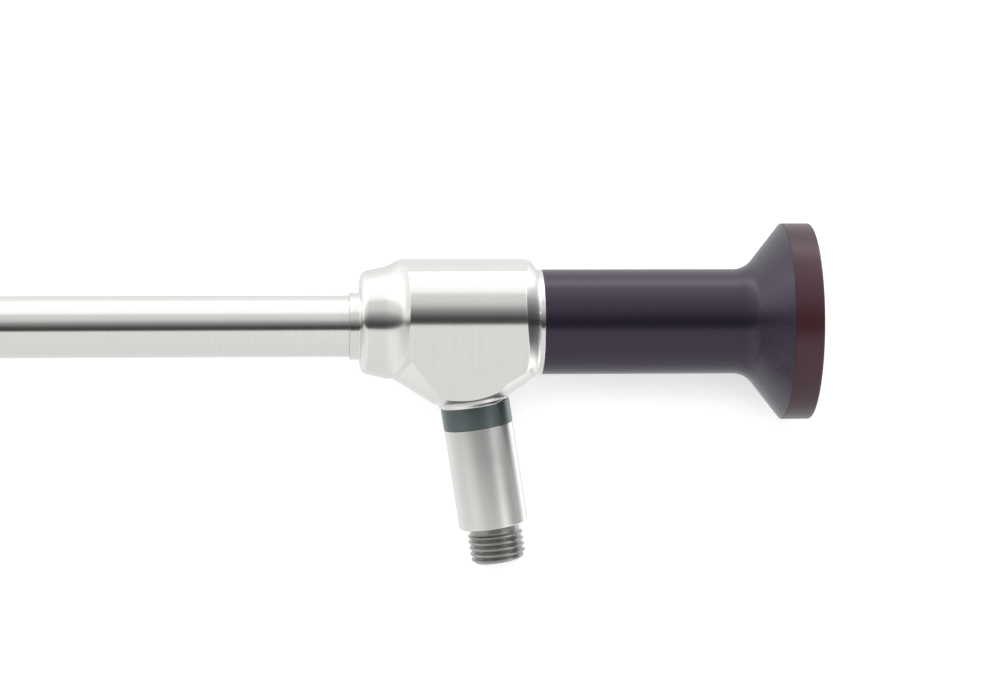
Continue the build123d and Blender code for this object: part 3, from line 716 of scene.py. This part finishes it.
def belly_outline(body, steps=24):
    """A wide outline across the body, closed below by the round belly, run just past the flats."""
    wide, overrun = 0.02, 1.04
    ball = belly_ball(body)
    reach = math.asin(flat_place(body, body.belly_start) / ball) * overrun
    turns = [reach * k / steps for k in range(-steps, steps + 1)]
    arc = [(ball * math.sin(turn), ball - body.belly_depth - ball * math.cos(turn)) for turn in turns]
    return [(-wide, wide), (-wide, arc[0][1]), *arc, (wide, arc[0][1]), (wide, wide)]


def prism(one, two):
    """A closed mesh between an outline's two copies, given point by point."""
    size = len(one)
    faces = [[i, (i + 1) % size, (i + 1) % size + size, i + size] for i in range(size)]
    return closed_mesh("prism", one + two, faces + [list(range(size)), list(range(size, 2 * size))])


def closed_mesh(name, verts, faces):
    """A mesh with its faces turned outward."""
    mesh = bpy.data.meshes.new(name)
    mesh.from_pydata(verts, [], faces)
    shape = bmesh.new()
    shape.from_mesh(mesh)
    bmesh.ops.recalc_face_normals(shape, faces=shape.faces)
    shape.to_mesh(mesh)
    shape.free()
    return mesh


def combine(scene, one, two, how):
    """The boolean of two meshes, which are used up. It works at a larger scale, to suit the solver."""
    larger, weld = 1024, 0.001
    objects = []
    for mesh in (one, two):
        mesh.transform(Matrix.Scale(larger, 4))
        objects.append(bpy.data.objects.new("form", mesh))
        scene.collection.objects.link(objects[-1])
    cut = objects[0].modifiers.new("cut", "BOOLEAN")
    cut.object = objects[1]
    cut.operation = how
    cut.solver = "EXACT"
    graph = bpy.context.evaluated_depsgraph_get()
    result = bpy.data.meshes.new_from_object(objects[0].evaluated_get(graph))
    shape = bmesh.new()
    shape.from_mesh(result)
    bmesh.ops.remove_doubles(shape, verts=shape.verts, dist=weld)
    bmesh.ops.dissolve_degenerate(shape, edges=shape.edges, dist=weld)
    shape.to_mesh(result)
    shape.free()
    result.transform(Matrix.Scale(1 / larger, 4))
    for used in objects:
        bpy.data.objects.remove(used)
    for mesh in (one, two):
        bpy.data.meshes.remove(mesh)
    if not len(result.polygons):
        raise RuntimeError(f"a boolean of the body came out empty at {how}")
    return result


def nose_profile(body, steps=10):
    """The outline of the nose as (along, radius), and the centres of its round and its flare."""
    slim, wide = body.nose_slope, body.flare_slope
    centre = (-body.length + body.nose_round, body.nose_radius - body.nose_round)
    points = [(-body.length, 0.0)]
    for k in range(steps + 1):
        turn = math.pi / 2 + (slim - math.pi / 2) * k / steps
        points.append((centre[0] - body.nose_round * math.sin(turn),
                       centre[1] + body.nose_round * math.cos(turn)))
    along = points[-1][0] + body.nose_length * math.cos(slim)
    radius = points[-1][1] + body.nose_length * math.sin(slim)
    hollow = (along - body.flare_radius * math.sin(slim), radius + body.flare_radius * math.cos(slim))
    for k in range(2 * steps + 1):
        turn = slim + (wide - slim) * k / (2 * steps)
        points.append((hollow[0] + body.flare_radius * math.sin(turn),
                       hollow[1] - body.flare_radius * math.cos(turn)))
    reach = 0.06
    far = (points[-1][0] + reach * math.cos(wide), points[-1][1] + reach * math.sin(wide))
    return points + [far, (far[0], 0.0)], centre, hollow


def cheek_outline(body):
    """The outline in the middle plane that ends the side flats toward the nose and the tail."""
    lip = -body.lip
    front_run = (body.cheek_depth - body.belly_start) / math.tan(body.cheek_slope)
    rear_run = (body.cheek_depth - body.cheek_tail) / math.tan(body.cheek_tail_slope)
    return [(-body.cheek_place - MARGIN / math.tan(body.cheek_slope), MARGIN - body.belly_start),
            (-body.cheek_place + front_run, -body.cheek_depth), (lip - rear_run, -body.cheek_depth),
            (lip + MARGIN, MARGIN * math.tan(body.cheek_tail_slope) - body.cheek_tail),
            (lip + MARGIN, MARGIN - body.belly_start)]


def cone_outline(body):
    """The outline of the double cone of the keel, as (along, radius)."""
    rise, fall = math.tan(body.front_slope), math.tan(body.rear_slope)
    level = body.rear_radius - body.front_radius
    crest = (level - body.front_place * rise - body.lip * fall) / (rise + fall)
    start = MARGIN - body.length
    points = [(along, body.front_radius + (along + body.front_place) * rise)
              for along in (start, crest)]
    return [(start, 0), *points, (-body.lip, body.rear_radius), (-body.lip, 0)]


def tail_outline(body):
    """The outline of the cone of the tail, run a little past the lip."""
    past, reach = 0.0002, 0.032
    slope = math.tan(body.tail)
    return [(past - body.lip, 0), (past - body.lip, body.lip_radius - past * slope),
            (-body.lip - reach, body.lip_radius + reach * slope), (-body.lip - reach, 0)]


def body_forms(scene):
    """The boolean forms of the body, joined to its outside."""
    body = scene.endo_body
    post = scene.endo_post
    segments = scene.endo_detail.segments
    foot = post.reach - body.boss_seat
    start = -MARGIN / 2
    wide = body.boss_radius + (foot - start) * math.tan(body.boss_slope)
    ends = (-body.length - MARGIN, MARGIN)
    half = 0.018

    def boss():
        """The boss about the post."""
        form = lathe("boss", [(start, 0), (start, wide), (foot, body.boss_radius),
                              (post.reach, body.boss_radius), (post.reach, 0)], segments)
        form.transform(scope_matrix(scene).inverted() @ post_matrix(scene))
        return form

    def across(outline):
        """A prism along the whole body."""
        return prism(*[[(x, y, z) for y, z in outline] for x in ends])

    cheek = prism(*[[(x, y, z) for x, z in cheek_outline(body)] for y in (-half, half)])
    cheek = combine(scene, cheek, boss(), "INTERSECT")
    middle = combine(scene, across(belly_outline(body)), cheek, "UNION")
    middle = combine(scene, middle, lathe("nose", nose_profile(body)[0], segments), "INTERSECT")
    middle = combine(scene, middle, lathe("tail", tail_outline(body), segments), "INTERSECT")
    lower = combine(scene, lathe("cones", cone_outline(body), segments), boss(), "INTERSECT")
    joined = combine(scene, middle, lower, "UNION")
    return combine(scene, joined, across(section(body)), "INTERSECT")


def round_surfaces(scene):
    """The curved surfaces of the body: each gives its distance and its outward direction at a point."""
    body = scene.endo_body
    post = scene.endo_post
    to_post = post_matrix(scene).inverted() @ scope_matrix(scene)
    tiny = 1e-9

    def cone(place, radius, slope, frame=None):
        """A cone or cylinder about the scope's axis or that of a frame."""
        def measure(point):
            if frame is not None:
                point = frame @ point
            across = max(math.hypot(point.y, point.z), tiny)
            distance = (across - radius - (point.x - place) * math.tan(slope)) * math.cos(slope)
            normal = Vector((-math.sin(slope), math.cos(slope) * point.y / across,
                             math.cos(slope) * point.z / across))
            if frame is not None:
                normal = frame.to_3x3().transposed() @ normal
            return abs(distance), normal
        return measure

    def hollow_ring(centre, radius):
        """A ring turned about the axis from a circle."""
        def measure(point):
            across = max(math.hypot(point.y, point.z), tiny)
            arm = Vector((point.x - centre[0], across - centre[1]))
            normal = Vector((arm.x, arm.y * point.y / across, arm.y * point.z / across)).normalized()
            return abs(arm.length - radius), normal
        return measure

    def side(across, height, radius):
        """A round side along the axis."""
        def measure(point):
            arm = Vector((0, point.y - across, point.z - height))
            return abs(arm.length - radius), arm.normalized()
        return measure

    points, centre, hollow = nose_profile(body)
    tangent = (centre[0] - body.nose_round * math.sin(body.nose_slope),
               centre[1] + body.nose_round * math.cos(body.nose_slope))
    far = points[-2]
    ball = belly_ball(body)
    return [
        hollow_ring(centre, body.nose_round), hollow_ring(hollow, body.flare_radius),
        cone(*tangent, body.nose_slope), cone(*far, body.flare_slope),
        cone(-body.lip, body.lip_radius, -body.tail), cone(0, body.lip_radius, 0),
        cone(0, body.neck_radius, 0), cone(0, body.bore, 0),
        cone(-body.front_place, body.front_radius, body.front_slope),
        cone(-body.lip, body.rear_radius, -body.rear_slope),
        cone(post.reach - body.boss_seat, body.boss_radius, -body.boss_slope, to_post),
        cone(0, body.boss_radius, 0, to_post), cone(0, post.shank, 0, to_post),
        side(body.side_offset, body.side_height, body.side_radius),
        side(-body.side_offset, body.side_height, body.side_radius),
        side(0, ball - body.belly_depth, ball),
    ]


def true_normals(mesh, surfaces):
    """Sets each face's normals from the curved surface it belongs to, and leaves flat faces flat."""
    near, alike = 0.00004, 0.985
    normals = [Vector((0, 0, 1))] * len(mesh.loops)
    for face in mesh.polygons:
        best = None
        for measure in surfaces:
            distance, normal = measure(face.center)
            if distance < near and abs(normal.dot(face.normal)) > alike:
                if best is None or distance < best[0]:
                    best = (distance, measure)
        for index in face.loop_indices:
            if best is None:
                normals[index] = face.normal.copy()
                continue
            normal = best[1](mesh.vertices[mesh.loops[index].vertex_index].co)[1]
            normals[index] = normal if normal.dot(face.normal) > 0 else -normal
    mesh.shade_smooth()
    mesh.normals_split_custom_set(normals)


def make_body(scene):
    """The steel body, with its lip, neck and bores."""
    body = scene.endo_body
    post = scene.endo_post
    shaft = scene.endo_shaft
    segments = scene.endo_detail.segments
    face = -body.length
    seat = face + shaft.seat
    hidden = -body.lip - body.overlap
    neck_end = body.neck_length + MARGIN
    shelf = face + shaft.collar_seat
    past = seat + MARGIN / 2
    top = post.reach - post.engagement
    outside = post.reach + 2 * MARGIN
    to_scope = scope_matrix(scene).inverted() @ post_matrix(scene)
    drop = Matrix.Translation((0, 0, -shaft.offset))
    forms = (
        ("UNION", Matrix(), [
            (hidden, 0), (hidden, body.lip_radius), (0, body.lip_radius), (0, body.neck_radius),
            (body.neck_length, body.neck_radius), (body.neck_length, 0)]),
        ("DIFFERENCE", Matrix(), [
            (seat, 0), (seat, body.bore), (neck_end, body.bore), (neck_end, 0)]),
        ("DIFFERENCE", drop, [
            (face - MARGIN, 0), (face - MARGIN, shaft.collar_radius), (shelf, shaft.collar_radius),
            (shelf, shaft.seat_radius), (past, shaft.seat_radius), (past, 0)]),
        ("DIFFERENCE", to_scope, [
            (top, 0), (top, post.shank), (outside, post.shank), (outside, 0)]),
    )
    mesh = body_forms(scene)
    for how, matrix, outline in forms:
        form = lathe("form", outline, segments)
        form.transform(matrix)
        mesh = combine(scene, mesh, form, how)
    mesh.name = "body_skin"
    mesh.materials.clear()
    true_normals(mesh, round_surfaces(scene))
    return mesh


# Stage


def make_camera(scene):
    """The camera, from how the axis and the post are seen."""
    stage = scene.endo_stage
    turn = upright(Vector(stage.axis_seen).normalized(), Vector(stage.post_seen).normalized())
    foot = Vector((-scene.endo_post.place, 0, 0))
    shift = Vector(stage.post_place_seen) - turn.to_3x3() @ foot
    data = bpy.data.cameras.new("camera")
    data.lens = stage.focal
    data.sensor_width = 36
    data.sensor_fit = "HORIZONTAL"
    data.clip_start = 0.01
    data.clip_end = 50
    camera = bpy.data.objects.new("camera", data)
    scene.collection.objects.link(camera)
    camera.matrix_world = scope_matrix(scene) @ (Matrix.Translation(shift) @ turn).inverted()
    scene.camera = camera
    return camera


# What steel mirrors: brightness by the height over the line of sight, in degrees
SKY = (
    (-180.0, 0.87), (-16.4, 0.87), (-15.2, 0.05), (-9.0, 0.04), (-4.0, 0.05), (0.0, 0.09), (7.0, 0.21),
    (14.0, 0.33), (22.0, 0.6), (30.0, 0.75), (37.0, 0.79), (46.0, 0.82), (50.0, 1.15), (60.0, 1.28),
    (72.0, 1.33), (80.0, 1.4), (87.0, 2.2), (92.0, 2.8), (99.0, 2.4), (106.0, 1.3), (120.0, 1.08),
    (140.0, 0.98), (160.0, 0.87),
)
SKY_SCALE = 3.0
# The factor on it by how far aside the direction is, from -1 to 1
SIDES = (
    (-1.0, 0.85), (-0.95, 0.92), (-0.85, 1.12), (-0.6, 1.2), (-0.3, 1.0), (0.3, 1.0), (0.5, 1.25),
    (0.68, 1.9), (0.8, 1.4), (0.93, 0.65), (1.0, 0.5),
)
SIDES_SCALE = 2.0


def ramp_node(tree, source, reach, stops, scale):
    """Greys by a value from -reach to reach, divided by a scale."""
    spread = new_node(tree, "ShaderNodeMapRange", {
        "Value": source, "From Min": -reach, "From Max": reach,
    })
    node = new_node(tree, "ShaderNodeValToRGB", {"Fac": spread.outputs["Result"]})
    elements = node.color_ramp.elements
    while len(elements) > 1:
        elements.remove(elements[-1])
    for k, (spot, value) in enumerate(stops):
        spot = (spot / reach + 1) / 2
        element = elements[0] if k == 0 else elements.new(spot)
        element.position = spot
        element.color = (*[value / scale] * 3, 1.0)
    return node.outputs["Color"]


def make_world(scene, camera):
    """The room: what steel mirrors by its direction from the line of sight, and even light else."""
    stage = scene.endo_stage
    world = bpy.data.worlds.new("room")
    scene.world = world
    world.use_nodes = True
    tree = world.node_tree
    tree.nodes.clear()
    facing = new_node(tree, "ShaderNodeTexCoord").outputs["Generated"]
    aside, up, ahead = [vector_computed(tree, "DOT_PRODUCT", {0: facing, 1: tuple(axis)}, "Value")
                        for axis in camera.matrix_world.to_3x3().col]
    height = computed(tree, "ARCTAN2", up, ahead)
    stops = [(math.radians(degrees), value) for degrees, value in SKY]
    both = new_node(tree, "ShaderNodeMix", {
        "Factor": 1.0,
        "A": ramp_node(tree, height, math.pi, stops, SKY_SCALE),
        "B": ramp_node(tree, aside, 1.0, SIDES, SIDES_SCALE),
    }, data_type="RGBA", blend_type="MULTIPLY")
    mirrored, even, white = [
        new_node(tree, "ShaderNodeBackground", inputs).outputs["Background"]
        for inputs in ({"Color": both.outputs["Result"], "Strength": SKY_SCALE * SIDES_SCALE},
                       {"Strength": stage.room}, {"Strength": stage.backdrop})
    ]
    rays = new_node(tree, "ShaderNodeLightPath").outputs
    glossy = either(tree, rays["Is Glossy Ray"], even, mirrored)
    seen = either(tree, rays["Is Camera Ray"], glossy, white)
    new_node(tree, "ShaderNodeOutputWorld", {"Surface": seen})


def make_floor(scene):
    """The pale floor, whose shadows pale for the camera and which steel doesn't mirror."""
    stage = scene.endo_stage
    half = stage.floor_size / 2
    mesh = bpy.data.meshes.new("floor")
    mesh.from_pydata([(-half, -half, 0), (half, -half, 0), (half, half, 0), (-half, half, 0)], [],
                     [(0, 1, 2, 3)])
    floor = bpy.data.objects.new("floor", mesh)
    scene.collection.objects.link(floor)
    floor.location.z = -stage.floor_drop
    paper, tree, shader = surface("Paper", stage.floor, 0.0, 0.9, Specular_IOR_Level=0.0)
    shader.inputs["Emission Color"].default_value = (1.0, 1.0, 1.0, 1.0)
    rays = new_node(tree, "ShaderNodeLightPath").outputs
    glow = computed(tree, "MULTIPLY", rays["Is Camera Ray"], stage.glow)
    clear = new_node(tree, "ShaderNodeBsdfTransparent")
    unmirrored = either(tree, rays["Is Glossy Ray"], shader.outputs["BSDF"], clear.outputs["BSDF"])
    tree.links.new(glow, shader.inputs["Emission Strength"])
    tree.links.new(unmirrored, tree.nodes["Material Output"].inputs["Surface"])
    mesh.materials.append(paper)


def make_lamp(scene):
    """The soft light over the table."""
    stage = scene.endo_stage
    data = bpy.data.lights.new("key", "AREA")
    data.shape = "DISK"
    data.size = stage.key_size
    data.energy = stage.key
    lamp = bpy.data.objects.new("key", data)
    scene.collection.objects.link(lamp)
    target = mount("light_thread")[0]
    lamp.location = target + Vector(stage.key_place)
    lamp.rotation_mode = "QUATERNION"
    lamp.rotation_quaternion = (-Vector(stage.key_place)).to_track_quat("-Z", "Y")
    lamp.visible_glossy = False


# Operators


class ENDO_OT_shaft(bpy.types.Operator):
    """Builds the outer tube and its collar."""
    bl_idname = "endo.shaft"
    bl_label = "Shaft"

    def execute(self, context):
        scene = context.scene
        steel = materials(scene)["ShaftSteel"]
        place = scope_matrix(scene) @ Matrix.Translation((0, 0, -scene.endo_shaft.offset))
        add_piece(scene, make_shaft(scene), place, "outer_tube", steel)
        add_piece(scene, make_collar(scene), place, "shaft_collar", steel)
        return {"FINISHED"}


class ENDO_OT_body(bpy.types.Operator):
    """Builds the milled steel body."""
    bl_idname = "endo.body"
    bl_label = "Body"

    def execute(self, context):
        scene = context.scene
        steel = materials(scene)["BodySteel"]
        add_piece(scene, make_body(scene), scope_matrix(scene), "body", steel)
        return {"FINISHED"}


class ENDO_OT_post(bpy.types.Operator):
    """Builds the light post with its ring, sleeve and thread."""
    bl_idname = "endo.post"
    bl_label = "Light post"

    def execute(self, context):
        scene = context.scene
        post = scene.endo_post
        known = materials(scene)
        place = post_matrix(scene)
        start, fine = post.reach + post.ring, post.edge / 3
        ring = make_band(scene, "post_ring_skin", post.reach, post.ring - post.gap, post.edge, fine)
        sleeve = make_band(scene, "post_sleeve_skin", start, post.sleeve, fine, post.edge)
        add_piece(scene, ring, place, "post_ring", known["RingMetal"])
        add_piece(scene, sleeve, place, "post_sleeve", known["SleeveSteel"])
        add_piece(scene, make_post(scene), place, "light_post", known["ThreadSteel"])
        return {"FINISHED"}


class ENDO_OT_eyepiece(bpy.types.Operator):
    """Builds the barrel and the rim of the eyepiece."""
    bl_idname = "endo.eyepiece"
    bl_label = "Eyepiece"

    def execute(self, context):
        scene = context.scene
        known = materials(scene)
        place = scope_matrix(scene)
        add_piece(scene, make_barrel(scene), place, "eyepiece_barrel",
                  known["BarrelBlack"])
        add_piece(scene, make_rim(scene), place, "eyecup_rim", known["RimBrown"])
        return {"FINISHED"}


class ENDO_OT_inside(bpy.types.Operator):
    """Gives the optics, fibres and seals that the frame carries their finishes."""
    bl_idname = "endo.inside"
    bl_label = "Inner pieces"

    def execute(self, context):
        known = materials(context.scene)
        for row in frame["record"]["subparts"]:
            node = frame["nodes"][row["node"]]
            node.data.materials.clear()
            node.data.materials.append(known[SLOT_MATERIALS[row["material_slot"]]])
        return {"FINISHED"}


class ENDO_OT_stage(bpy.types.Operator):
    """Sets up the camera, the room, the floor and the light."""
    bl_idname = "endo.stage"
    bl_label = "Stage"

    def execute(self, context):
        scene = context.scene
        camera = make_camera(scene)
        make_world(scene, camera)
        make_floor(scene)
        make_lamp(scene)
        scene.view_settings.view_transform = "Standard"
        return {"FINISHED"}


STEPS = (ENDO_OT_inside, ENDO_OT_shaft, ENDO_OT_body, ENDO_OT_post, ENDO_OT_eyepiece, ENDO_OT_stage)


class ENDO_PT_panel(bpy.types.Panel):
    """Lists the steps that build the endoscope."""
    bl_idname = "ENDO_PT_panel"
    bl_label = "Rigid Endoscope"
    bl_space_type = "VIEW_3D"
    bl_region_type = "UI"
    bl_category = "Endoscope"

    def draw(self, context):
        for step in STEPS:
            self.layout.operator(step.bl_idname)
        for name in GROUPS:
            box = self.layout.box()
            box.label(text=name.removeprefix("endo_").capitalize())
            group = getattr(context.scene, name)
            for field in group.bl_rna.properties:
                if field.identifier not in ("rna_type", "name"):
                    box.prop(group, field.identifier)


def register():
    """Registers settings, steps and panel."""
    for name, group in GROUPS.items():
        bpy.utils.register_class(group)
        setattr(bpy.types.Scene, name, bpy.props.PointerProperty(type=group))
    for step in (*STEPS, ENDO_PT_panel):
        bpy.utils.register_class(step)


def unregister():
    """Takes everything back."""
    for step in (ENDO_PT_panel, *reversed(STEPS)):
        bpy.utils.unregister_class(step)
    for name, group in GROUPS.items():
        delattr(bpy.types.Scene, name)
        bpy.utils.unregister_class(group)


def main():
    """Builds the scene."""
    register()
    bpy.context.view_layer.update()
    for step in STEPS:
        space, name = step.bl_idname.split(".")
        if getattr(getattr(bpy.ops, space), name)() != {"FINISHED"}:
            raise RuntimeError(f"{step.bl_label} could not be built")


if __name__ == "__main__":
    main()
